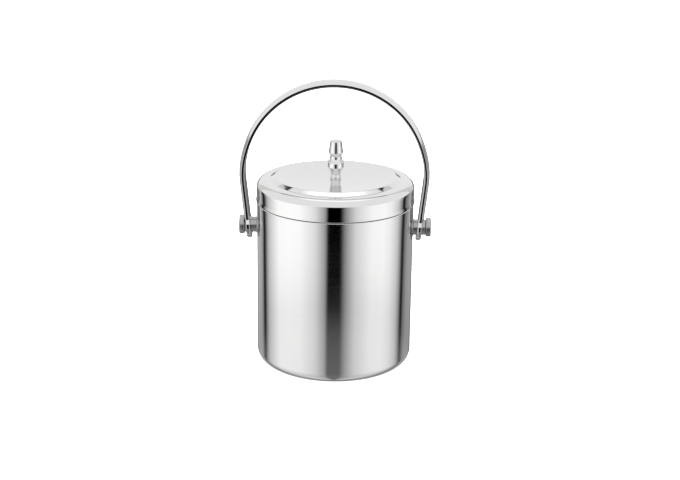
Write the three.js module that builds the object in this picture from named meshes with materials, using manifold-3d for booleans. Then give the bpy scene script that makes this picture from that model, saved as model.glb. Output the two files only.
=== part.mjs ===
// Double-wall ice bucket with a lift-off cap lid, a turned knob and a swinging strap bail.
// Millimetres, +Z up, origin at the centre of the base. The bail swings about an axis along X.
import * as THREE from "three";
import { mergeVertices } from "three/addons/utils/BufferGeometryUtils.js";
import Module from "manifold-3d";

// Body
const sheet = 0.8; // wall thickness of every drawn steel shell
const bodyRadius = 64.6;
const baseFillet = 8.6;
const shoulderRadius = 1;
const shoulderTop = 137.2;
const neckRadius = 61.9;
const neckTop = 150.4;
const standInner = 51.2; // inner edge of the ring that the bucket stands on
const baseRecess = 1.6;
const baseFlangeRadius = 44;
const baseDiscRadius = 49.9;
const baseDiscThickness = 0.7;

// Liner
const linerRadius = 58.2;
const linerFloor = 6;
const linerFillet = 4.5;
const rimGap = 0.2; // between the rolled rim and the neck that it covers
const rimOuter = 63;
const rimDrop = 2.2;

// Lid
const lidRadius = 65;
const lidTop = 155.6;
const lidFillet = 7;
const hemBottom = 137.6;
const hemHeight = 3.2;
const hemFlare = 0.5;
const crestRise = 2.7; // the raised ring round the lid's dished middle
const crestRadius = 48.8;
const stepOuter = 53.4;
const dishDepth = 2.7;
const lidHoleRadius = 3;
const sealInner = 54.5;
const sealOuter = 59.2;

// Knob and the screw that holds it
const knobSeatGap = 0.1;
const knobBoreRadius = 2.6;
const knobBoreDepth = 10;
const screwRadius = 2.3;
const screwHeadRadius = 4.7;
const screwHeadHeight = 2.8;
const washerRadius = 6.5;
const washerThickness = 0.9;

// Bail: a strap that is flat inside and crowned outside
const pivotHeight = 115.2;
const bailArcHeight = 160.9;
const bailInnerRadius = 73.4;
const bailLegLean = THREE.MathUtils.degToRad(7);
const bailWidth = 18;
const bailEdge = 2;
const bailCrown = 2.2;
const eyeRadius = 10.8;
const eyeThickness = 3.2;
const eyeHoleRadius = 7.1;
const bailSidePlay = -1; // the bail rests to one side of its play along the pivots

// Pivots
const sleeveRadius = 6.5;
const sleeveBore = 3.4;
const sleeveEnd = 74.7;
const boltHeadStart = 75;
const boltHeadEnd = 79.6;
const boltHeadRadius = 7.85;
const boltHeadRounding = 0.8;
const boltRadius = 3;
const boltEnd = 58.7;
const nutStart = 59;
const nutEnd = 62.2;
const nutAcrossFlats = 10;
const nutBore = 3.3;
const plateHalfWidth = 11;
const fitGap = 0.3; // clearance kept between separate pieces

// Facets
const bodySegments = 56;
const smallSegments = 28;
const filletSteps = 4;
const bailSteps = 44;
const crownSteps = 6;

const wasm = await Module();
wasm.setup();

// A closed geometry as a solid that can be joined and cut.
function toSolid(geometry) {
  const bare = new THREE.BufferGeometry();
  bare.setAttribute("position", geometry.getAttribute("position"));
  bare.setIndex(geometry.index);
  const merged = mergeVertices(bare, 1e-4);
  return new wasm.Manifold(
    new wasm.Mesh({
      numProp: 3,
      vertProperties: new Float32Array(merged.attributes.position.array),
      triVerts: new Uint32Array(merged.index.array),
    }),
  );
}

function toGeometry(solid) {
  const mesh = solid.getMesh();
  const geometry = new THREE.BufferGeometry();
  geometry.setAttribute("position", new THREE.BufferAttribute(mesh.vertProperties, 3));
  geometry.setIndex(new THREE.BufferAttribute(mesh.triVerts, 1));
  const faceted = geometry.toNonIndexed();
  faceted.computeVertexNormals();
  return faceted;
}

// Points [radius, height] on an arc from one angle to another, in degrees.
function arc(radius, height, size, from, to, steps = filletSteps) {
  return Array.from({ length: steps + 1 }, (_, i) => {
    const angle = THREE.MathUtils.degToRad(from + ((to - from) * i) / steps);
    return [radius + size * Math.cos(angle), height + size * Math.sin(angle)];
  });
}

// A solid of revolution about Z. The profile runs anticlockwise, seen with the radius to the right.
function turn(profile, segments) {
  const first = profile[0];
  const last = profile[profile.length - 1];
  const closed = first[0] > 0 || last[0] > 0 ? [...profile, first] : profile;
  const points = closed.map(([radius, height]) => new THREE.Vector2(radius, height));
  return new THREE.LatheGeometry(points, segments).rotateX(Math.PI / 2);
}

// A solid of revolution about X, whose profile is [radius, x].
function turnAlongX(profile, segments) {
  return turn(profile, segments).rotateY(Math.PI / 2);
}

function rod(radius, start, end, segments = smallSegments) {
  return turnAlongX([[0, start], [radius, start], [radius, end], [0, end]], segments);
}

// Outer shell: drawn in one piece, with a necked-in mouth and a recess for the base disc.
function outerShell() {
  const inner = bodyRadius - sheet;
  const shoulderHeight = shoulderTop - shoulderRadius;
  const shoulderCentre = bodyRadius - shoulderRadius;
  const filletCentre = bodyRadius - baseFillet;
  const profile = [
    [baseFlangeRadius, baseRecess],
    [standInner - 1, baseRecess],
    [standInner, 0],
    ...arc(filletCentre, baseFillet, baseFillet, -90, 0),
    ...arc(shoulderCentre, shoulderHeight, shoulderRadius, 0, 78, 4),
    [neckRadius, shoulderTop + 0.1],
    [neckRadius, neckTop],
    [neckRadius - sheet, neckTop],
    [neckRadius - sheet, shoulderTop - sheet],
    ...arc(shoulderCentre, shoulderHeight, shoulderRadius - sheet, 78, 0, 4),
    ...arc(filletCentre, baseFillet, baseFillet - sheet, 0, -90),
    [standInner + 0.5, sheet],
    [standInner - 0.5, baseRecess + sheet],
    [baseFlangeRadius, baseRecess + sheet],
  ];
  const boltHoles = rod(sleeveBore, -bodyRadius - 2, bodyRadius + 2).translate(0, 0, pivotHeight);
  const core = rod(sleeveBore + 1, -inner + 4, inner - 4).translate(0, 0, pivotHeight);
  const drills = toSolid(boltHoles).subtract(toSolid(core));
  return toGeometry(toSolid(turn(profile, bodySegments)).subtract(drills));
}

// Base disc: closes the recess under the bucket.
function baseDisc() {
  const bottom = baseRecess - 0.1 - baseDiscThickness;
  const top = bottom + baseDiscThickness;
  return turn([[0, bottom], [baseDiscRadius, bottom], [baseDiscRadius, top], [0, top]], bodySegments);
}

// Inner liner: the ice well, with its rim rolled over the neck of the outer shell.
function innerLiner() {
  const inner = linerRadius - sheet;
  const filletCentre = linerRadius - linerFillet;
  const filletHeight = linerFloor + linerFillet;
  const rimUnder = neckTop + rimGap;
  const rimTop = rimUnder + sheet;
  const rollInner = rimOuter - sheet;
  return turn(
    [
      [0, linerFloor],
      ...arc(filletCentre, filletHeight, linerFillet, -90, 0),
      [linerRadius, rimUnder - 0.6],
      [linerRadius + 0.6, rimUnder],
      [rollInner, rimUnder],
      [rollInner, rimTop - sheet - rimDrop],
      [rimOuter, rimTop - sheet - rimDrop],
      ...arc(rimOuter - 1, rimTop - 1, 1, 0, 90, 2),
      ...arc(linerRadius + 0.4, rimTop - 1.2, 1.2, 90, 180, 3),
      ...arc(filletCentre, filletHeight, linerFillet - sheet, 0, -90),
      [0, linerFloor + sheet],
    ],
    bodySegments,
  );
}

const dishFloor = lidTop + crestRise - dishDepth;

// Height of the dish above the lid's edge, at a share of the way from its middle to the crest.
function dishRise(share) {
  return crestRise - dishDepth * (1 - share ** 2);
}

// Lid: a cap with a dished middle inside a raised ring, a rounded edge and a flared hem.
function lidCap() {
  const inner = lidRadius - sheet;
  const filletCentre = lidRadius - lidFillet;
  const filletHeight = lidTop - lidFillet;
  // The top inside the edge, from the foot of the ring over its crest to the screw's hole.
  const step = [
    [stepOuter, 0],
    [stepOuter - 1.1, 0.25],
    [crestRadius + 1.1, crestRise - 0.45],
    [crestRadius + 0.5, crestRise - 0.1],
    [crestRadius, crestRise],
    ...[0.9, 0.7, 0.5, 0.3].map((share) => [crestRadius * share, dishRise(share)]),
  ];
  const under = step.map(([radius, rise]) => [radius - 0.3, lidTop - sheet + rise]).reverse();
  const over = step.map(([radius, rise]) => [radius, lidTop + rise]);
  return turn(
    [
      [lidHoleRadius, dishFloor - sheet],
      ...under,
      ...arc(filletCentre, filletHeight, lidFillet - sheet, 90, 0),
      [inner, hemBottom + hemHeight],
      [inner + hemFlare, hemBottom],
      [lidRadius + hemFlare, hemBottom],
      [lidRadius + hemFlare - 0.1, hemBottom + 1],
      [lidRadius, hemBottom + hemHeight],
      ...arc(filletCentre, filletHeight, lidFillet, 0, 90),
      ...over,
      [lidHoleRadius, dishFloor],
    ],
    bodySegments,
  );
}

// Seal: a soft ring in the lid's corner, which rests on the rolled rim.
function lidSeal() {
  const bottom = neckTop + rimGap + sheet + 0.1;
  const top = lidTop - sheet - 0.2;
  const rounding = 0.6;
  return turn(
    [
      ...arc(sealInner + rounding, bottom + rounding, rounding, 180, 270, 1),
      ...arc(sealOuter - rounding, bottom + rounding, rounding, 270, 360, 1),
      ...arc(sealOuter - rounding, top - rounding, rounding, 0, 90, 1),
      ...arc(sealInner + rounding, top - rounding, rounding, 90, 180, 1),
    ],
    bodySegments,
  );
}

const knobSeat = dishFloor + knobSeatGap;

// Knob: a turned finial of a foot, a bell, a neck and a tapered grip, with a blind bore.
function knob() {
  const outline = [
    [4.7, 0],
    [4.65, 0.8],
    [4.5, 2.1],
    [4.05, 3.8],
    [4.6, 5.5],
    [5.25, 7.2],
    [6.4, 9.5],
    [6.7, 10.2],
    [6.75, 12.5],
    [6.55, 14],
    [5.85, 15.6],
    [5.2, 17.3],
    [4.85, 19],
    [5.15, 20.7],
    [5.9, 22.4],
    [5.85, 23.3],
    [5.5, 25.7],
    [5, 29.1],
    [4.7, 31.2],
    [3.9, 32.2],
    [0, 32.5],
  ];
  return turn(
    [
      [0, knobSeat + knobBoreDepth],
      [knobBoreRadius, knobSeat + knobBoreDepth],
      [knobBoreRadius, knobSeat],
      ...outline.map(([radius, height]) => [radius, knobSeat + height]),
    ],
    smallSegments,
  );
}

const lidUnderside = dishFloor - sheet;

function knobWasher() {
  const top = lidUnderside - 0.1;
  const bottom = top - washerThickness;
  const bore = screwRadius + 0.4;
  return turn([[bore, bottom], [washerRadius, bottom], [washerRadius, top], [bore, top]], smallSegments);
}

// Knob screw: a pan head under the washer and a shank up into the knob.
function knobScrew() {
  const seat = lidUnderside - 0.2 - washerThickness;
  const head = seat - screwHeadHeight;
  return turn(
    [
      [0, head],
      ...arc(screwHeadRadius - 1.4, head + 1.4, 1.4, -90, 0, 3),
      [screwHeadRadius, seat],
      [screwRadius, seat],
      [screwRadius, knobSeat + knobBoreDepth - 1.5],
      [0, knobSeat + knobBoreDepth - 1.5],
    ],
    smallSegments,
  );
}

const bailArcAngle = Math.PI + 2 * bailLegLean;
const bailLegLength =
  (bailArcHeight - bailInnerRadius * Math.sin(bailLegLean) - pivotHeight) / Math.cos(bailLegLean);
const bailFoot =
  bailInnerRadius * Math.cos(bailLegLean) - bailLegLength * Math.sin(bailLegLean);

// The inner face of the bail, from the left pivot over the top to the right pivot.
class BailPath extends THREE.Curve {
  getPoint(t, target = new THREE.Vector3()) {
    const arcLength = bailInnerRadius * bailArcAngle;
    const distance = t * (arcLength + 2 * bailLegLength);
    if (distance < bailLegLength) return this.leg(-1, distance, target);
    const beyond = distance - bailLegLength - arcLength;
    if (beyond > 0) return this.leg(1, bailLegLength - beyond, target);
    const angle = Math.PI + bailLegLean - (distance - bailLegLength) / bailInnerRadius;
    return target.set(
      bailInnerRadius * Math.cos(angle),
      0,
      bailArcHeight + bailInnerRadius * Math.sin(angle),
    );
  }

  // A point on a leg, a distance above the pivot.
  leg(side, distance, target) {
    const across = bailFoot + distance * Math.sin(bailLegLean);
    return target.set(side * across, 0, pivotHeight + distance * Math.cos(bailLegLean));
  }
}

// Bail: the strap, an eye at each foot and a hole through each eye.
function bail() {
  const half = bailWidth / 2;
  const section = new THREE.Shape();
  section.moveTo(-half, 0);
  section.lineTo(half, 0);
  for (let i = 0; i <= crownSteps; i++) {
    const across = half - (bailWidth * i) / crownSteps;
    const rise = bailCrown * (1 - (across / half) ** 2);
    section.lineTo(across, -bailEdge - rise);
  }
  const strap = new THREE.ExtrudeGeometry(section, {
    steps: bailSteps,
    extrudePath: new BailPath(),
  });
  let solid = toSolid(strap);
  for (const side of [-1, 1]) {
    const eye = rod(eyeRadius, 0.1, eyeThickness)
      .rotateY(bailLegLean)
      .translate(bailFoot, 0, pivotHeight);
    if (side < 0) eye.rotateZ(Math.PI);
    solid = solid.add(toSolid(eye));
  }
  const holes = toSolid(
    rod(eyeHoleRadius, -boltHeadEnd, boltHeadEnd).translate(0, 0, pivotHeight),
  );
  return toGeometry(solid.subtract(holes));
}

// Pivot sleeve: welded to the shell, saddle-cut to its curve. The bail's eye turns on it.
function pivotSleeve() {
  const tube = turnAlongX(
    [
      [sleeveBore, bodyRadius - 3],
      [sleeveRadius, bodyRadius - 3],
      [sleeveRadius, sleeveEnd],
      [sleeveBore, sleeveEnd],
    ],
    smallSegments,
  );
  const saddle = turn(
    [[0, -20], [bodyRadius + fitGap, -20], [bodyRadius + fitGap, 20], [0, 20]],
    bodySegments,
  );
  return toGeometry(toSolid(tube).subtract(toSolid(saddle)));
}

// Pivot bolt: a thick round head and a shank through the sleeve and the wall.
function pivotBolt() {
  const edge = boltHeadRadius - boltHeadRounding;
  return turnAlongX(
    [
      [0, boltEnd],
      [boltRadius, boltEnd],
      [boltRadius, boltHeadStart],
      [edge + 0.4, boltHeadStart],
      [boltHeadRadius, boltHeadStart + 0.4],
      ...arc(edge, boltHeadEnd - boltHeadRounding, boltHeadRounding, 0, 90, 3),
      [0, boltHeadEnd],
    ],
    smallSegments,
  );
}

// Backing plate: a curved doubler behind the shell wall, drilled for the bolt.
function backingPlate() {
  const outer = bodyRadius - sheet - fitGap;
  const inner = outer - sheet;
  const spread = Math.asin(plateHalfWidth / outer);
  const outline = new THREE.Shape();
  outline.absarc(0, 0, outer, -spread, spread, false);
  outline.absarc(0, 0, inner, spread, -spread, true);
  const plate = new THREE.ExtrudeGeometry(outline, {
    depth: 2 * plateHalfWidth,
    bevelEnabled: false,
    curveSegments: 8,
  }).translate(0, 0, -plateHalfWidth);
  const drill = rod(sleeveBore, inner - 5, outer + 5);
  return toGeometry(toSolid(plate).subtract(toSolid(drill)));
}

// Pivot nut: a thin hexagon nut between the two walls.
function pivotNut() {
  const hexagon = new THREE.Shape();
  const corner = nutAcrossFlats / 2 / Math.cos(Math.PI / 6);
  for (let i = 0; i < 6; i++) {
    const angle = (i * Math.PI) / 3;
    const point = [corner * Math.cos(angle), corner * Math.sin(angle)];
    if (i === 0) hexagon.moveTo(...point);
    else hexagon.lineTo(...point);
  }
  const bore = new THREE.Path().absarc(0, 0, nutBore, 0, 2 * Math.PI, true);
  hexagon.holes.push(bore);
  return new THREE.ExtrudeGeometry(hexagon, {
    depth: nutEnd - nutStart,
    bevelEnabled: false,
    curveSegments: 16,
  })
    .rotateY(Math.PI / 2)
    .translate(nutStart, 0, 0);
}

const polishedSteel = { color: 0xd2d2d2, metalness: 1, roughness: 0.12 };
const satinSteel = { color: 0xc6c6c6, metalness: 1, roughness: 0.28 };
const dullSteel = { color: 0xa8a8a6, metalness: 1, roughness: 0.45 };
const silicone = { color: 0xe4e4e0, metalness: 0, roughness: 0.7 };

const iceBucket = new THREE.Group();

function place(name, geometry, finish, parent = iceBucket) {
  const mesh = new THREE.Mesh(geometry, new THREE.MeshStandardMaterial(finish));
  mesh.name = name;
  parent.add(mesh);
  return mesh;
}

place("outer_shell", outerShell(), satinSteel);
place("base_disc", baseDisc(), satinSteel);
place("inner_liner", innerLiner(), satinSteel);
place("lid_cap", lidCap(), polishedSteel);
place("lid_seal", lidSeal(), silicone);
place("knob", knob(), polishedSteel);
place("knob_washer", knobWasher(), silicone);
place("knob_screw", knobScrew(), dullSteel);
place("bail", bail(), polishedSteel).position.x = bailSidePlay;

for (const side of ["left", "right"]) {
  const pivot = new THREE.Group();
  pivot.position.z = pivotHeight;
  if (side === "left") pivot.rotation.z = Math.PI;
  iceBucket.add(pivot);
  place(side + "_pivot_sleeve", pivotSleeve(), polishedSteel, pivot);
  place(side + "_pivot_bolt", pivotBolt(), polishedSteel, pivot);
  place(side + "_pivot_nut", pivotNut(), dullSteel, pivot);
  place(side + "_backing_plate", backingPlate(), dullSteel, pivot);
}

export default iceBucket;
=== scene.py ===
"""Looks for the ice bucket: smooth turned steel shells, a strap bail, a finial knob and their finishes."""

import math

import bmesh
import bpy
from mathutils import Matrix, Vector


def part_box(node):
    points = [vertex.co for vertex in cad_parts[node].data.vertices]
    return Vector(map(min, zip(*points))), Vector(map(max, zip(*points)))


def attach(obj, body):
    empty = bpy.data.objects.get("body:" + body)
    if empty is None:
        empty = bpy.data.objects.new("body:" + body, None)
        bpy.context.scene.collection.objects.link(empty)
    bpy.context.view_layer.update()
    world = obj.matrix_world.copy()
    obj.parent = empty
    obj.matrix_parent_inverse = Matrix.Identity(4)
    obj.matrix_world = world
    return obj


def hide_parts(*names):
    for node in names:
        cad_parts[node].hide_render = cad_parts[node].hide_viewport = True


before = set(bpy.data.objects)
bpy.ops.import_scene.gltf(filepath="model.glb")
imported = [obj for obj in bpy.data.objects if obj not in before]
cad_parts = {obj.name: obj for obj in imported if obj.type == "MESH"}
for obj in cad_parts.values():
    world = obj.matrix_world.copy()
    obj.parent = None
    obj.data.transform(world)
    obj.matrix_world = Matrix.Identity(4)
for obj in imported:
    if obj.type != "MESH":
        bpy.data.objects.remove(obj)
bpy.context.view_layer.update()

MM = 0.001

# Facets
BODY_SEGMENTS = 256
SMALL_SEGMENTS = 96
CORNER_STEPS = 6
SHARP_ANGLE = math.radians(40)

# Sheet metal
SHEET = 0.8 * MM
EDGE_ROUND = 0.28 * MM

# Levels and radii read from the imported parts
SHELL_LOW, SHELL_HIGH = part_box("outer_shell")
LINER_LOW, LINER_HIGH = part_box("inner_liner")
LID_LOW, LID_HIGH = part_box("lid_cap")
SEAL_LOW, SEAL_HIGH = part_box("lid_seal")
KNOB_LOW, KNOB_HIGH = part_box("knob")
WASHER_LOW, WASHER_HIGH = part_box("knob_washer")
SCREW_LOW, SCREW_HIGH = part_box("knob_screw")
DISC_LOW, DISC_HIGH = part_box("base_disc")
BAIL_LOW, BAIL_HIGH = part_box("bail")
SLEEVE_LOW, SLEEVE_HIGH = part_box("right_pivot_sleeve")
BOLT_LOW, BOLT_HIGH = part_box("right_pivot_bolt")

# Body
BODY_RADIUS = SHELL_HIGH.x
BASE_FILLET = 8.6 * MM
SHOULDER_TOP = 137.2 * MM
SHOULDER_ROUND = 0.9 * MM
NECK_RADIUS = 61.9 * MM
STAND_INNER = 51.2 * MM
BASE_RECESS = 1.6 * MM
FLANGE_RADIUS = 44 * MM

# Liner
LINER_RADIUS = 58.2 * MM
LINER_FILLET = 4.5 * MM

# Lid
SKIRT_RADIUS = 65 * MM
LID_TOP = 155.6 * MM
LID_FILLET = 7 * MM
HEM_HEIGHT = 3.2 * MM
HEM_ROUND = 0.6 * MM
CREST_RADIUS = 49.8 * MM
CREST_ROUND = 1.5 * MM
STEP_OUTER = 54 * MM
STEP_ROUND = 2 * MM
DISH_FLOOR = KNOB_LOW.z - 0.1 * MM
DISH_RINGS = 24
DISH_EDGE_SHARE = 0.96
LID_HOLE = 3 * MM

# Bail
PIVOT_HEIGHT = (SLEEVE_LOW.z + SLEEVE_HIGH.z) / 2
BAIL_CENTRE_X = (BAIL_LOW.x + BAIL_HIGH.x) / 2
BAIL_ARC_HEIGHT = 160.9 * MM
BAIL_INNER_RADIUS = 73.4 * MM
BAIL_LEAN = math.radians(6.2)
ARCH_DRAW_IN = 1.1 * MM
ARCH_EASE = 35 * MM
BAIL_HALF_WIDTH = 9 * MM
BAIL_EDGE = 2.6 * MM
BAIL_CROWN = 2.3 * MM
BAIL_ROUND = 0.2 * MM
NEAR_LENGTH = 24 * MM
FLAT_FOOT = (4 * MM, 16 * MM)
EYE_RADIUS = BAIL_HIGH.y
EYE_THICKNESS = 3.2 * MM
EYE_HOLE = 7.1 * MM
SLEEVE_RADIUS = (SLEEVE_HIGH.z - SLEEVE_LOW.z) / 2
SLEEVE_BORE = 3.4 * MM
WELD_RADIUS = 0.7 * MM
HEAD_SEAT = 75 * MM


# ---------------------------------------------------------------- mesh making


def new_object(name, mesh):
    obj = bpy.data.objects.new(name, mesh)
    bpy.context.scene.collection.objects.link(obj)
    return obj


def mesh_object(name, bm):
    """An object from a bmesh, smooth except at its sharp edges."""
    bmesh.ops.recalc_face_normals(bm, faces=bm.faces)
    for face in bm.faces:
        face.smooth = True
    for edge in bm.edges:
        if len(edge.link_faces) == 2:
            edge.smooth = edge.calc_face_angle(0) < SHARP_ANGLE
    mesh = bpy.data.meshes.new(name)
    bm.to_mesh(mesh)
    bm.free()
    return new_object(name, mesh)


def rounded(corners, steps=CORNER_STEPS):
    """A closed outline of (radius, height, rounding) corners, with each corner replaced by an arc."""
    points = []
    for i, (r, z, rounding) in enumerate(corners):
        here = Vector((r, z))
        before = Vector(corners[i - 1][:2]) - here
        after = Vector(corners[(i + 1) % len(corners)][:2]) - here
        if rounding <= 0:
            points.append(here)
            continue
        half = before.angle(after) / 2
        reach = rounding / math.tan(half)
        centre = here + (before.normalized() + after.normalized()).normalized() * (
            rounding / math.sin(half)
        )
        start = here + before.normalized() * reach - centre
        end = here + after.normalized() * reach - centre
        sweep = start.angle(end)
        for k in range(steps + 1):
            t = k / steps
            points.append(
                centre
                + (start * math.sin((1 - t) * sweep) + end * math.sin(t * sweep))
                / math.sin(sweep)
            )
    return points


def turned(name, outline, segments, axis="Z", offset=(0, 0, 0)):
    """A solid of revolution. Outline points are (radius, distance along the axis)."""
    bm = bmesh.new()
    rings = []
    for r, z in outline:
        if r < 1e-6:
            rings.append([bm.verts.new((0, 0, z))])
            continue
        ring = []
        for k in range(segments):
            angle = 2 * math.pi * k / segments
            ring.append(bm.verts.new((r * math.cos(angle), r * math.sin(angle), z)))
        rings.append(ring)
    for i, ring in enumerate(rings):
        after = rings[(i + 1) % len(rings)]
        if len(ring) == 1 and len(after) == 1:
            continue
        for k in range(segments):
            corners = [
                ring[k % len(ring)],
                ring[(k + 1) % len(ring)],
                after[(k + 1) % len(after)],
                after[k % len(after)],
            ]
            bm.faces.new(list(dict.fromkeys(corners)))
    if axis == "X":
        bmesh.ops.rotate(bm, verts=bm.verts, matrix=Matrix.Rotation(math.pi / 2, 3, "Y"))
    bmesh.ops.translate(bm, verts=bm.verts, vec=offset)
    return mesh_object(name, bm)


def apply_modifiers(obj):
    """Replaces an object's mesh with what its modifiers make of it."""
    depsgraph = bpy.context.evaluated_depsgraph_get()
    mesh = bpy.data.meshes.new_from_object(obj.evaluated_get(depsgraph))
    obj.modifiers.clear()
    obj.data = mesh


def cut(obj, cutter):
    """Cuts one object out of another and removes the cutter."""
    modifier = obj.modifiers.new("cut", "BOOLEAN")
    modifier.operation = "DIFFERENCE"
    modifier.solver = "EXACT"
    modifier.object = cutter
    apply_modifiers(obj)
    bpy.data.objects.remove(cutter)


def soften_rims(obj, width, segments=3):
    """Rounds the edges that a cut has left sharp."""
    modifier = obj.modifiers.new("soften", "BEVEL")
    modifier.width = width
    modifier.segments = segments
    modifier.limit_method = "ANGLE"
    modifier.angle_limit = math.radians(50)
    apply_modifiers(obj)


def drill(obj, radius, start, end):
    """Drills a hole along X at the pivots' height."""
    outline = [(0, start), (radius, start), (radius, end), (0, end)]
    cut(obj, turned("drill", outline, SMALL_SEGMENTS, "X", (0, 0, PIVOT_HEIGHT)))


# ---------------------------------------------------------------- finishes


class Nodes:
    """Short calls for building a node tree."""

    def __init__(self, tree):
        self.tree = tree
        tree.nodes.clear()

    def add(self, kind, inputs=(), **settings):
        node = self.tree.nodes.new(kind)
        for key, value in settings.items():
            setattr(node, key, value)
        for key, value in dict(inputs).items():
            if isinstance(value, bpy.types.NodeSocket):
                self.tree.links.new(value, node.inputs[key])
            else:
                node.inputs[key].default_value = value
        return node

    def maths(self, operation, *values):
        return self.add("ShaderNodeMath", dict(enumerate(values)), operation=operation).outputs[0]

    def between(self, value, low, high, out_low, out_high, smooth=False):
        node = self.add(
            "ShaderNodeMapRange",
            {0: value, 1: low, 2: high, 3: out_low, 4: out_high},
            interpolation_type="SMOOTHSTEP" if smooth else "LINEAR",
        )
        return node.outputs[0]


def new_material(name):
    material = bpy.data.materials.new(name)
    material.use_nodes = True
    return material, Nodes(material.node_tree)


def turned_coordinates(nodes, axis, across, around):
    """Coordinates that stretch a noise round an axis, as a lathe's or a buffing wheel's marks are."""
    place = nodes.add("ShaderNodeTexCoord").outputs["Object"]
    split = nodes.add("ShaderNodeSeparateXYZ", {0: place})
    x, y, z = split.outputs
    if axis == "X":
        x, y, z = y, nodes.maths("SUBTRACT", z, PIVOT_HEIGHT), x
    square = nodes.maths("ADD", nodes.maths("MULTIPLY", x, x), nodes.maths("MULTIPLY", y, y))
    radius = nodes.maths("SQRT", square)
    cosine = nodes.maths("MULTIPLY", nodes.maths("DIVIDE", x, radius), around)
    sine = nodes.maths("MULTIPLY", nodes.maths("DIVIDE", y, radius), around)
    vector = nodes.add(
        "ShaderNodeCombineXYZ",
        {0: nodes.maths("MULTIPLY", radius, across), 1: nodes.maths("MULTIPLY", z, across), 2: cosine},
    ).outputs[0]
    return place, vector, sine


def steel(name, tone, roughness, axis="Z", brushing=0.0, anisotropic=0.0, line=0.35 * MM, bump=0.0):
    """Stainless steel: buffing lines round an axis, with faint smudges that change its gloss."""
    material, nodes = new_material(name)
    place, vector, sine = turned_coordinates(nodes, axis, 1 / line, 2.5)
    lines = nodes.add(
        "ShaderNodeTexNoise",
        {"Vector": vector, "W": sine, "Scale": 1.0, "Detail": 3.0, "Roughness": 0.6},
        noise_dimensions="4D",
    ).outputs[0]
    smudges = nodes.add(
        "ShaderNodeTexNoise",
        {"Vector": place, "Scale": 38.0, "Detail": 3.0, "Roughness": 0.55, "Distortion": 0.4},
    ).outputs[0]
    gloss = nodes.maths(
        "ADD",
        nodes.between(lines, 0.3, 0.7, roughness - brushing / 2, roughness + brushing / 2),
        nodes.between(smudges, 0.45, 0.75, 0.0, roughness * 0.12, smooth=True),
    )
    low, high = tone * 0.965, tone
    tint = nodes.add("ShaderNodeValToRGB", {0: lines})
    tint.color_ramp.elements[0].position = 0.3
    tint.color_ramp.elements[0].color = (low, low, low * 0.995, 1)
    tint.color_ramp.elements[1].position = 0.7
    tint.color_ramp.elements[1].color = (high, high, high * 0.995, 1)
    inputs = {
        "Base Color": tint.outputs[0],
        "Metallic": 1.0,
        "Roughness": gloss,
        "Anisotropic": anisotropic,
    }
    if bump:
        relief = nodes.add(
            "ShaderNodeBump", {"Strength": bump, "Distance": 0.05 * MM, "Height": lines}
        )
        inputs["Normal"] = relief.outputs[0]
    if anisotropic:
        tangent = nodes.add("ShaderNodeTangent", direction_type="RADIAL", axis=axis)
        inputs["Tangent"] = tangent.outputs[0]
        inputs["Anisotropic Rotation"] = 0.25
    shader = nodes.add("ShaderNodeBsdfPrincipled", inputs)
    nodes.add("ShaderNodeOutputMaterial", {0: shader.outputs[0]})
    return material


def silicone(name):
    """Cast silicone: milky, with a fine matte grain."""
    material, nodes = new_material(name)
    place = nodes.add("ShaderNodeTexCoord").outputs["Object"]
    grain = nodes.add("ShaderNodeTexNoise", {"Vector": place, "Scale": 2600.0, "Detail": 2.0}).outputs[0]
    cloud = nodes.add("ShaderNodeTexNoise", {"Vector": place, "Scale": 60.0, "Detail": 3.0}).outputs[0]
    ramp = nodes.add("ShaderNodeValToRGB", {0: cloud})
    ramp.color_ramp.elements[0].position = 0.3
    ramp.color_ramp.elements[0].color = (0.70, 0.70, 0.67, 1)
    ramp.color_ramp.elements[1].position = 0.7
    ramp.color_ramp.elements[1].color = (0.80, 0.80, 0.78, 1)
    relief = nodes.add("ShaderNodeBump", {"Strength": 0.15, "Distance": 0.05 * MM, "Height": grain})
    shader = nodes.add(
        "ShaderNodeBsdfPrincipled",
        {
            "Base Color": ramp.outputs[0],
            "Roughness": nodes.between(grain, 0.3, 0.7, 0.5, 0.66),
            "Normal": relief.outputs[0],
            "Subsurface Weight": 0.15,
        },
    )
    nodes.add("ShaderNodeOutputMaterial", {0: shader.outputs[0]})
    return material


satin = steel("satin_steel", 0.78, 0.10, brushing=0.03, anisotropic=0.6, bump=0.03)
drawn = steel("liner_steel", 0.74, 0.24, brushing=0.08, anisotropic=0.5, line=0.5 * MM, bump=0.08)
polished = steel("polished_steel", 0.78, 0.05, brushing=0.02, line=0.3 * MM)
pivot = steel("pivot_steel", 0.44, 0.28, axis="X", brushing=0.08, line=0.3 * MM, bump=0.06)
dull = steel("dull_steel", 0.55, 0.38, brushing=0.12, line=0.4 * MM, bump=0.15)
dull_x = steel("dull_steel_pivots", 0.55, 0.38, axis="X", brushing=0.12, line=0.4 * MM, bump=0.15)
seal_white = silicone("silicone_white")


def fit(piece, body, node, material):
    """Puts a piece on its body in place of a CAD node, with its finish."""
    piece.data.materials.clear()
    piece.data.materials.append(material)
    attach(piece, body)
    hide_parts(node)
    return piece


# ---------------------------------------------------------------- bucket


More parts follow.
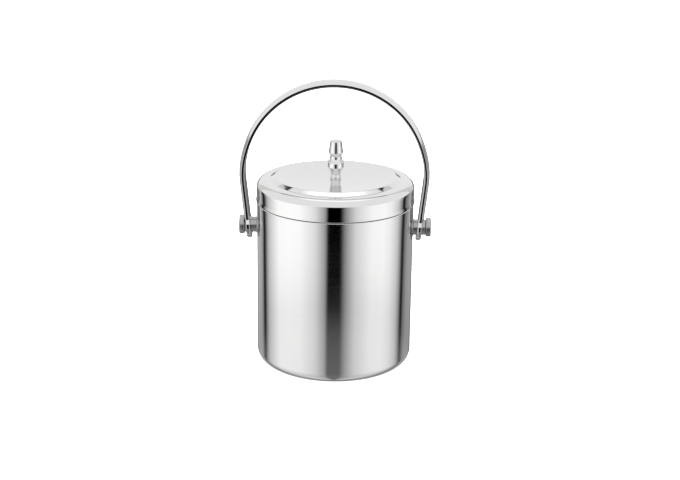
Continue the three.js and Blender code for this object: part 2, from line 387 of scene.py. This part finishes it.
def body_shell():
    """The outer wall, from its neck down to the standing ring and the flange round the base recess."""
    inner = BODY_RADIUS - SHEET
    recess_top = BASE_RECESS + SHEET
    outline = rounded(
        [
            (FLANGE_RADIUS, BASE_RECESS, EDGE_ROUND),
            (STAND_INNER - 0.9 * MM, BASE_RECESS, 0.5 * MM),
            (STAND_INNER, 0, 0.3 * MM),
            (BODY_RADIUS, 0, BASE_FILLET),
            (BODY_RADIUS, SHOULDER_TOP, SHOULDER_ROUND),
            (NECK_RADIUS, SHOULDER_TOP, 0.2 * MM),
            (NECK_RADIUS, SHELL_HIGH.z, EDGE_ROUND),
            (NECK_RADIUS - SHEET, SHELL_HIGH.z, EDGE_ROUND),
            (NECK_RADIUS - SHEET, SHOULDER_TOP - SHEET, 0.5 * MM),
            (inner, SHOULDER_TOP - SHEET, 0.3 * MM),
            (inner, SHEET, BASE_FILLET - SHEET),
            (STAND_INNER + 0.5 * MM, SHEET, 0.3 * MM),
            (STAND_INNER - 0.4 * MM, recess_top, 0.5 * MM),
            (FLANGE_RADIUS, recess_top, EDGE_ROUND),
        ],
        steps=10,
    )
    # Rows beside the pivots keep the drilled holes from disturbing the wall's facets.
    rows = []
    for here, after in zip(outline, outline[1:] + outline[:1]):
        rows.append(here)
        if abs(after.y - here.y) > 50 * MM:
            levels = [PIVOT_HEIGHT - 5 * MM, PIVOT_HEIGHT + 5 * MM]
            if after.y < here.y:
                levels.reverse()
            rows += [Vector((here.x, level)) for level in levels]
    shell = turned("body_shell", rows, BODY_SEGMENTS)
    reach = BODY_RADIUS + 2 * MM
    clear = inner - 5 * MM
    drill(shell, SLEEVE_BORE, clear, reach)
    drill(shell, SLEEVE_BORE, -reach, -clear)
    return shell


def base_plate():
    """The disc under the bucket, with a shallow pressed dish."""
    low, high = DISC_LOW.z, DISC_HIGH.z
    dish = 0.35 * MM
    outline = [(0, low + dish)]
    outline += rounded(
        [
            (30 * MM, low + dish, 1 * MM),
            (33 * MM, low, 1 * MM),
            (DISC_HIGH.x, low, 0.15 * MM),
            (DISC_HIGH.x, high, 0.15 * MM),
            (0, high, 0),
        ]
    )
    return turned("base_plate", outline, BODY_SEGMENTS)


def ice_liner():
    """The well that holds the ice, with a rolled rim that hooks over the shell's neck."""
    inner = LINER_RADIUS - SHEET
    top = LINER_HIGH.z
    rim_outer = LINER_HIGH.x
    under = top - SHEET
    corners = [
        (LINER_RADIUS, LINER_LOW.z, LINER_FILLET),
        (LINER_RADIUS, under, 0.5 * MM),
        (rim_outer - SHEET, under, 0.3 * MM),
        (rim_outer - SHEET, under - 2.2 * MM, 0.2 * MM),
        (rim_outer, under - 2.2 * MM, 0.2 * MM),
        (rim_outer, top, 1.0 * MM),
        (inner, top, 1.3 * MM),
        (inner, LINER_LOW.z + SHEET, LINER_FILLET - SHEET),
    ]
    low, high = (0, LINER_LOW.z, 0), (0, LINER_LOW.z + SHEET, 0)
    return turned("ice_liner", rounded([low] + corners + [high], steps=10), BODY_SEGMENTS)


def pivot_sleeve(side, sign):
    """A tube between the shell and the bolt's head, with a weld bead round its foot."""
    foot = math.sqrt(BODY_RADIUS**2 - SLEEVE_RADIUS**2) - 0.1 * MM
    outline = rounded(
        [
            (SLEEVE_BORE, foot, 0),
            (SLEEVE_RADIUS, foot, 0),
            (SLEEVE_RADIUS, SLEEVE_HIGH.x, 0.35 * MM),
            (SLEEVE_BORE, SLEEVE_HIGH.x, 0.35 * MM),
        ]
    )
    outline = [Vector((r, x * sign)) for r, x in outline]
    return turned(side + "_sleeve", outline, SMALL_SEGMENTS, "X", (0, 0, PIVOT_HEIGHT))


def weld_bead(side, sign):
    """A small fillet of weld that follows the line where the sleeve meets the curved wall."""
    bm = bmesh.new()
    around, section = 144, 12
    rings = []
    for i in range(around):
        angle = 2 * math.pi * i / around
        ripple = 1 + 0.10 * math.sin(angle * 26) + 0.05 * math.sin(angle * 11 + 1)
        ring = []
        for k in range(section):
            turn = 2 * math.pi * k / section
            out = SLEEVE_RADIUS - 0.1 * MM + WELD_RADIUS * ripple * math.cos(turn)
            y, z = out * math.cos(angle), out * math.sin(angle)
            wall = math.sqrt(BODY_RADIUS**2 - y * y)
            x = wall + WELD_RADIUS * ripple * math.sin(turn) * 0.8
            ring.append(bm.verts.new((sign * x, y, PIVOT_HEIGHT + z)))
        rings.append(ring)
    for i, ring in enumerate(rings):
        after = rings[(i + 1) % around]
        for k in range(section):
            bm.faces.new([ring[k], ring[(k + 1) % section], after[(k + 1) % section], after[k]])
    return mesh_object(side + "_weld_bead", bm)


def pivot_bolt(side, sign):
    """A round head with a softened rim and a faintly domed face, and its shank."""
    shank = 3 * MM
    head = (BOLT_HIGH.z - BOLT_LOW.z) / 2
    outline = rounded(
        [
            (0, BOLT_LOW.x, 0),
            (shank, BOLT_LOW.x, 0.4 * MM),
            (shank, HEAD_SEAT, 0.2 * MM),
            (head, HEAD_SEAT, 0.5 * MM),
            (head, BOLT_HIGH.x - 0.25 * MM, 0.9 * MM),
            (0, BOLT_HIGH.x, 0),
        ]
    )
    outline = [Vector((r, x * sign)) for r, x in outline]
    return turned(side + "_bolt", outline, SMALL_SEGMENTS, "X", (0, 0, PIVOT_HEIGHT))


fit(body_shell(), "bucket", "outer_shell", satin)
fit(base_plate(), "bucket", "base_disc", satin)
fit(ice_liner(), "bucket", "inner_liner", drawn)
for side, sign in (("left", -1), ("right", 1)):
    sleeve = pivot_sleeve(side, sign)
    fit(sleeve, "bucket", side + "_pivot_sleeve", pivot)
    fit(weld_bead(side, sign), "bucket", side + "_pivot_sleeve", dull_x)
    fit(pivot_bolt(side, sign), "bucket", side + "_pivot_bolt", pivot)
    for node in (side + "_pivot_nut", side + "_backing_plate"):
        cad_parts[node].data.materials.clear()
        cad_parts[node].data.materials.append(dull_x)


# ---------------------------------------------------------------- lid


def lid_shell():
    """The pressed cap: a shallow dish, a rounded crest and step round it, and a skirt with a flared hem."""
    inner = SKIRT_RADIUS - SHEET
    flare = LID_HIGH.x
    hem = LID_LOW.z
    crest = LID_HIGH.z
    dish = []
    for k in range(DISH_RINGS):
        inward = k / DISH_RINGS
        share = DISH_EDGE_SHARE * (1 - inward) + LID_HOLE / CREST_RADIUS * inward
        dish.append((share * CREST_RADIUS, DISH_FLOOR + (crest - DISH_FLOOR) * share**2, 0))
    under = [(r, z - SHEET, 0) for r, z, _ in reversed(dish)]
    edge = [
        (CREST_RADIUS - 0.3 * MM, crest - SHEET, CREST_ROUND),
        (STEP_OUTER - 0.3 * MM, LID_TOP - SHEET, STEP_ROUND),
        (inner, LID_TOP - SHEET, LID_FILLET - SHEET),
        (inner, hem + HEM_HEIGHT, 2 * MM),
        (flare - SHEET, hem, EDGE_ROUND),
        (flare, hem, HEM_ROUND),
        (SKIRT_RADIUS, hem + HEM_HEIGHT, 2 * MM),
        (SKIRT_RADIUS, LID_TOP, LID_FILLET),
        (STEP_OUTER, LID_TOP, STEP_ROUND),
        (CREST_RADIUS, crest, CREST_ROUND),
    ]
    hole = [(LID_HOLE, DISH_FLOOR, 0.2 * MM), (LID_HOLE, DISH_FLOOR - SHEET, 0.2 * MM)]
    return turned("lid_shell", rounded(hole + under + edge + dish, steps=10), BODY_SEGMENTS)


def seal_ring():
    """A soft ring with two lips that press on the liner's rim."""
    inner, outer = SEAL_HIGH.x - 4.7 * MM, SEAL_HIGH.x
    low, high = SEAL_LOW.z, SEAL_HIGH.z
    middle = (inner + outer) / 2
    outline = rounded(
        [
            (inner, low, 0.5 * MM),
            (middle - 1.2 * MM, low, 0.4 * MM),
            (middle - 0.7 * MM, low + 0.8 * MM, 0.3 * MM),
            (middle + 0.7 * MM, low + 0.8 * MM, 0.3 * MM),
            (middle + 1.2 * MM, low, 0.4 * MM),
            (outer, low, 0.5 * MM),
            (outer, high, 0.6 * MM),
            (inner, high, 0.6 * MM),
        ],
        steps=5,
    )
    return turned("seal_ring", outline, BODY_SEGMENTS)


def finial():
    """The knob: foot, bell, neck and tapered grip, with a blind bore for its screw."""
    base = KNOB_LOW.z
    tall = KNOB_HIGH.z - base
    bore, depth = 2.6, 10
    corners = [
        (bore, 0, 0.2),
        (4.7, 0, 0.15),
        (4.45, 2.4, 1.5),
        (4.0, 3.9, 1.5),
        (5.2, 7.2, 4),
        (6.85, 10.0, 0.4),
        (6.45, 13.6, 1.4),
        (5.2, 17.0, 2.5),
        (4.8, 19.2, 1.5),
        (6.05, 22.3, 0.5),
        (4.7, tall / MM, 1.4),
    ]
    outline = [(0, depth, 0), (bore, depth, 0)] + corners + [(0, tall / MM, 0)]
    scaled = [(r * MM, base + z * MM, rounding * MM) for r, z, rounding in outline]
    return turned("finial", rounded(scaled, steps=8), SMALL_SEGMENTS)


def knob_washer():
    bore, outer = 2.7 * MM, WASHER_HIGH.x
    low, high = WASHER_LOW.z, WASHER_HIGH.z
    corners = [(bore, low), (outer, low), (outer, high), (bore, high)]
    return turned("washer", rounded([(r, z, EDGE_ROUND) for r, z in corners]), SMALL_SEGMENTS)


def knob_screw():
    """A pan-head screw with a crossed recess."""
    shank, head = 2.3 * MM, SCREW_HIGH.x
    seat = WASHER_LOW.z - 0.1 * MM
    outline = rounded(
        [
            (0, SCREW_LOW.z, 0),
            (head, SCREW_LOW.z, 1.5 * MM),
            (head, seat, 0.2 * MM),
            (shank, seat, 0),
            (shank, SCREW_HIGH.z, 0.4 * MM),
            (0, SCREW_HIGH.z, 0),
        ]
    )
    screw = turned("screw", outline, SMALL_SEGMENTS)
    for turn in (0, math.pi / 2):
        bm = bmesh.new()
        bmesh.ops.create_cube(bm, size=1)
        bmesh.ops.scale(bm, vec=(4.6 * MM, 0.9 * MM, 2.6 * MM), verts=bm.verts)
        bmesh.ops.rotate(bm, matrix=Matrix.Rotation(turn, 3, "Z"), verts=bm.verts)
        bmesh.ops.translate(bm, vec=(0, 0, SCREW_LOW.z), verts=bm.verts)
        cut(screw, mesh_object("slot", bm))
    soften_rims(screw, 0.1 * MM, 2)
    return screw


fit(lid_shell(), "lid", "lid_cap", polished)
fit(seal_ring(), "lid", "lid_seal", seal_white)
fit(finial(), "lid", "knob", polished)
fit(knob_washer(), "lid", "knob_washer", seal_white)
fit(knob_screw(), "lid", "knob_screw", dull)


# ---------------------------------------------------------------- bail


def bail_section():
    """The strap's cross-section, as (share of the half width, part, depth, inset) points."""
    points = []
    across = 9
    corner = 5
    for k in range(across):
        points.append((-1 + 2 * k / (across - 1), "inner", 0.0, BAIL_ROUND))
    for k in range(1, corner):
        angle = math.pi / 2 * k / corner
        points.append((1, "side", BAIL_ROUND * (1 - math.cos(angle)), BAIL_ROUND * (1 - math.sin(angle))))
    for k in range(corner):
        angle = math.pi / 2 * (1 - k / corner)
        points.append((1, "rim", BAIL_ROUND * (1 - math.cos(angle)), BAIL_ROUND * (1 - math.sin(angle))))
    for k in range(across * 2 - 1):
        points.append((1 - 2 * k / (across * 2 - 2), "outer", 0.0, BAIL_ROUND))
    mirrored = [(-f, kind, depth, inset) for f, kind, depth, inset in points[across:-(across * 2 - 1)]]
    return points + mirrored[::-1]


def smooth_step(low, high, value):
    t = min(max((value - low) / (high - low), 0), 1)
    return t * t * (3 - 2 * t)


def bail_point(along, side, foot, leg):
    """Inner face and outward direction at a distance above a pivot, measured up the strap's own line."""
    if along < leg:
        x = foot + along * math.sin(BAIL_LEAN)
        z = PIVOT_HEIGHT + along * math.cos(BAIL_LEAN)
        out = Vector((math.cos(BAIL_LEAN), 0, -math.sin(BAIL_LEAN)))
    else:
        angle = -BAIL_LEAN + (along - leg) / BAIL_INNER_RADIUS
        radius = BAIL_INNER_RADIUS - ARCH_DRAW_IN * smooth_step(leg, leg + ARCH_EASE, along)
        x = radius * math.cos(angle)
        z = BAIL_ARC_HEIGHT + radius * math.sin(angle)
        out = Vector((math.cos(angle), 0, math.sin(angle)))
    return Vector((side * x, 0, z)), Vector((side * out.x, 0, out.z))


def bail_strap():
    """A bar that is flat inside and crowned outside, with a round eye at each foot."""
    rise = BAIL_ARC_HEIGHT - BAIL_INNER_RADIUS * math.sin(BAIL_LEAN) - PIVOT_HEIGHT
    leg = rise / math.cos(BAIL_LEAN)
    foot = BAIL_INNER_RADIUS * math.cos(BAIL_LEAN) - leg * math.sin(BAIL_LEAN)
    half_length = leg + BAIL_INNER_RADIUS * (math.pi / 2 + BAIL_LEAN)
    section = bail_section()

    # Stations from a foot's tip to the top: an angle round the eye, or a distance above the pivot.
    eye_stations = [("eye", math.radians(3 + 87 * k / 20)) for k in range(20)]
    near = [("strap", NEAR_LENGTH * k / 24) for k in range(24)]
    far = [("strap", NEAR_LENGTH + (half_length - NEAR_LENGTH) * k / 90) for k in range(91)]
    stations = eye_stations + near + far
    track = [(side, s) for side, s in zip([-1] * len(stations), stations)]
    track += [(1, s) for s in stations[-2::-1]]

    bm = bmesh.new()
    rings = []
    for side, (kind, value) in track:
        along_pivot = 0 if kind == "eye" else value
        flatness = 1 - smooth_step(*FLAT_FOOT, along_pivot)
        edge = BAIL_EDGE + (EYE_THICKNESS - BAIL_EDGE) * flatness * 0.6
        crown = BAIL_CROWN - (EYE_THICKNESS - BAIL_EDGE) * flatness
        ring = []
        for share, part, depth, inset in section:
            if kind == "eye":
                radius = EYE_RADIUS - inset
                along = -radius * math.cos(value)
                half = radius * math.sin(value)
            else:
                along = value
                circle = math.sqrt(max(EYE_RADIUS**2 - value**2, 0)) - BAIL_HALF_WIDTH
                blend = 0.8 * MM * smooth_step(0, 3 * MM, value)
                half = BAIL_HALF_WIDTH - inset + (circle + math.sqrt(circle**2 + blend**2)) / 2
            centre, out = bail_point(along, side, foot, leg)
            if part in ("inner", "side"):
                height = depth
            elif part == "rim":
                height = edge - depth
            else:
                height = edge + crown * (1 - share * share)
            across = share * half
            ring.append(bm.verts.new(centre + out * height + Vector((BAIL_CENTRE_X, across, 0))))
        rings.append(ring)
    for ring, after in zip(rings, rings[1:]):
        for k in range(len(ring)):
            following = (k + 1) % len(ring)
            bm.faces.new([ring[k], ring[following], after[following], after[k]])
    bm.faces.new(rings[0])
    bm.faces.new(rings[-1][::-1])
    strap = mesh_object("bail_strap", bm)
    reach = BOLT_HIGH.x
    drill(strap, EYE_HOLE, reach / 2, reach)
    drill(strap, EYE_HOLE, -reach, -reach / 2)
    soften_rims(strap, 0.3 * MM)
    return strap


fit(bail_strap(), "bail", "bail", polished)


# ---------------------------------------------------------------- studio


def floor():
    """A pale floor that glows a little, and that the steel doesn't reflect."""
    bm = bmesh.new()
    bmesh.ops.create_circle(bm, cap_ends=True, segments=64, radius=6)
    plane = mesh_object("floor", bm)
    material, nodes = new_material("floor_pale")
    place = nodes.add("ShaderNodeTexCoord").outputs["Object"]
    noise = nodes.add("ShaderNodeTexNoise", {"Vector": place, "Scale": 3.0}).outputs[0]
    shader = nodes.add(
        "ShaderNodeBsdfPrincipled",
        {
            "Base Color": (0.94, 0.94, 0.94, 1),
            "Roughness": nodes.between(noise, 0.3, 0.7, 0.7, 0.8),
            "Emission Color": (1, 1, 1, 1),
            "Emission Strength": 0.85,
        },
    )
    nodes.add("ShaderNodeOutputMaterial", {0: shader.outputs[0]})
    plane.data.materials.append(material)
    plane.visible_glossy = False


# What the upright walls reflect: (azimuth from the front in degrees, display tone), turning to the right.
WALL_TONES = [
    (-180, 0.40),
    (-166, 0.42),
    (-154, 0.66),
    (-136, 0.62),
    (-130, 0.45),
    (-127.5, 0.10),
    (-123, 0.10),
    (-120, 0.42),
    (-112, 0.74),
    (-88, 0.99),
    (-70, 1.0),
    (-50, 0.99),
    (-28, 0.87),
    (-13, 0.60),
    (-8.6, 0.12),
    (-7.2, 0.0),
    (8.6, 0.0),
    (10.6, 0.18),
    (17, 0.54),
    (32, 0.83),
    (56, 0.965),
    (76, 0.98),
    (90, 0.93),
    (105, 0.78),
    (114, 0.50),
    (117.5, 0.12),
    (122, 0.12),
    (125, 0.42),
    (136, 0.58),
    (154, 0.60),
    (168, 0.40),
    (180, 0.40),
]
STEEL_TONE = 0.78
OVERHEAD_TONE = 0.88

# The strip light overhead: its tone, how far behind the middle it hangs, its bend, and where it fades out
STRIP_TONE = 1.08
STRIP_BACK = 0.15
STRIP_BEND = 1.25
STRIP_EDGE = (0.06, 0.13)
STRIP_END = (0.25, 0.42)
STRIP_LEVEL = (0.7, 0.8)

# How much higher the front wall reaches than the others, and the height over which they all end
FRONT_REACH = 0.14
WALL_FADE = 0.07

# How much light the walls keep, and how much stray light there is, against the share of the way up to level
WALL_FALL = [(0.2, 0.45), (0.5, 0.66), (0.61, 0.81), (0.65, 0.95), (0.68, 1.0)]
STRAY_LIGHT = [(0.5, 0.18), (0.59, 0.11), (0.603, 0.0)]

# Camera
CAMERA_DISTANCE = 1.2
CAMERA_ELEVATION = math.radians(19.35)
CAMERA_AZIMUTH = math.radians(1.3)
CAMERA_ROLL = math.radians(0.72)
CAMERA_SENSOR = 36
CAMERA_LENS = 75.8
CAMERA_ORBIT = Vector((0, 0, 75 * MM))
CAMERA_AIM = Vector((4.23 * MM, 0, 102.65 * MM))


def ramp(nodes, value, stops):
    """A ramp from 0 to 1 through (position, light) stops, which are at most 32."""
    node = nodes.add("ShaderNodeValToRGB", {0: value})
    elements = node.color_ramp.elements
    while len(elements) > 1:
        elements.remove(elements[-1])
    for i, (position, light) in enumerate(stops):
        element = elements[0] if i == 0 else elements.new(position)
        element.position = position
        element.color = (light, light, light, 1)
    return node.outputs[0]


def light_for(tone):
    """The light that polished steel shows as this display tone."""
    return tone**2.2 / STEEL_TONE


def plain_light(nodes, light):
    node = nodes.add("ShaderNodeRGB")
    node.outputs[0].default_value = (light, light, light, 1)
    return node.outputs[0]


def mix(nodes, factor, low, high):
    """Blends two colours, from the low one at factor 0 to the high one at factor 1."""
    node = nodes.add("ShaderNodeMix", {0: factor}, data_type="RGBA")
    a, b = [socket for socket in node.inputs if socket.type == "RGBA"]
    nodes.tree.links.new(low, a)
    nodes.tree.links.new(high, b)
    return [socket for socket in node.outputs if socket.type == "RGBA"][0]


def studio_world():
    """A white tent: bright above, with panels of tone round the sides for the steel to reflect."""
    world = bpy.data.worlds.new("studio")
    bpy.context.scene.world = world
    world.use_nodes = True
    nodes = Nodes(world.node_tree)
    direction = nodes.add("ShaderNodeTexCoord").outputs["Generated"]
    x, y, z = nodes.add("ShaderNodeSeparateXYZ", {0: direction}).outputs
    azimuth = nodes.maths("ARCTAN2", x, nodes.maths("MULTIPLY", y, -1.0))
    turn = nodes.between(azimuth, -math.pi, math.pi, 0.0, 1.0)
    walls = ramp(nodes, turn, [((a + 180) / 360, light_for(tone)) for a, tone in WALL_TONES])
    # The walls get darker towards the ground, where a little stray light fills their blacks.
    depth = nodes.between(z, -1.0, 0.0, 0.0, 1.0)
    fall = ramp(nodes, depth, WALL_FALL)
    stray = ramp(nodes, depth, STRAY_LIGHT)
    low = nodes.add("ShaderNodeVectorMath", {0: walls, 1: fall}, operation="MULTIPLY").outputs[0]
    low = nodes.add("ShaderNodeVectorMath", {0: low, 1: stray}, operation="ADD").outputs[0]
    # Overhead is even, but for a bent strip light from left to right.
    even = plain_light(nodes, light_for(OVERHEAD_TONE))
    strip = plain_light(nodes, light_for(STRIP_TONE))
    square = nodes.maths("MULTIPLY", x, x)
    bend = nodes.maths("ADD", nodes.maths("MULTIPLY", square, STRIP_BEND), STRIP_BACK)
    away = nodes.maths("ABSOLUTE", nodes.maths("SUBTRACT", y, bend))
    aside = nodes.maths("ABSOLUTE", x)
    inside = nodes.maths(
        "MULTIPLY",
        nodes.between(away, *STRIP_EDGE, 1.0, 0.0, smooth=True),
        nodes.between(aside, *STRIP_END, 1.0, 0.0, smooth=True),
    )
    level = nodes.between(z, *STRIP_LEVEL, 0.0, 1.0, smooth=True)
    above = mix(nodes, nodes.maths("MULTIPLY", inside, level), even, strip)
    # The walls end just above the horizon, and the front one a little higher.
    front = nodes.maths("MULTIPLY", nodes.maths("MINIMUM", y, 0.0), FRONT_REACH)
    rise = nodes.between(nodes.maths("ADD", z, front), 0.0, WALL_FADE, 0.0, 1.0, smooth=True)
    studio = mix(nodes, rise, low, above)
    reflected = nodes.add("ShaderNodeBackground", {0: studio, 1: 1.0}).outputs[0]
    plain = nodes.add("ShaderNodeBackground", {0: (1, 1, 1, 1), 1: 1.05}).outputs[0]
    path = nodes.add("ShaderNodeLightPath")
    shown = nodes.add(
        "ShaderNodeMixShader", {0: path.outputs["Is Glossy Ray"], 1: plain, 2: reflected}
    ).outputs[0]
    nodes.add("ShaderNodeOutputWorld", {0: shown})


def softbox(name, place, size, power):
    """A round soft light that points at the origin and isn't reflected."""
    light = bpy.data.lights.new(name, "AREA")
    light.shape = "DISK"
    light.size = size
    light.energy = power
    obj = new_object(name, light)
    obj.location = place
    obj.rotation_euler = (-Vector(place)).to_track_quat("-Z", "Y").to_euler()
    obj.visible_glossy = False
    return obj


def camera():
    """A long lens a little above the lid, turned slightly to the right and tilted by a hair."""
    data = bpy.data.cameras.new("camera")
    data.sensor_width = CAMERA_SENSOR
    data.lens = CAMERA_LENS
    obj = new_object("camera", data)
    reach = CAMERA_DISTANCE * math.cos(CAMERA_ELEVATION)
    obj.location = CAMERA_ORBIT + Vector(
        (
            reach * math.sin(CAMERA_AZIMUTH),
            -reach * math.cos(CAMERA_AZIMUTH),
            CAMERA_DISTANCE * math.sin(CAMERA_ELEVATION),
        )
    )
    facing = (CAMERA_AIM - obj.location).to_track_quat("-Z", "Y").to_matrix()
    obj.rotation_euler = (facing @ Matrix.Rotation(CAMERA_ROLL, 3, "Z")).to_euler()
    bpy.context.scene.camera = obj


floor()
studio_world()
softbox("key_light", (-1.2, -1.0, 2.2), 1.6, 45)
softbox("fill_light", (1.4, 0.6, 2.0), 1.6, 30)
camera()
bpy.context.scene.view_settings.view_transform = "Standard"
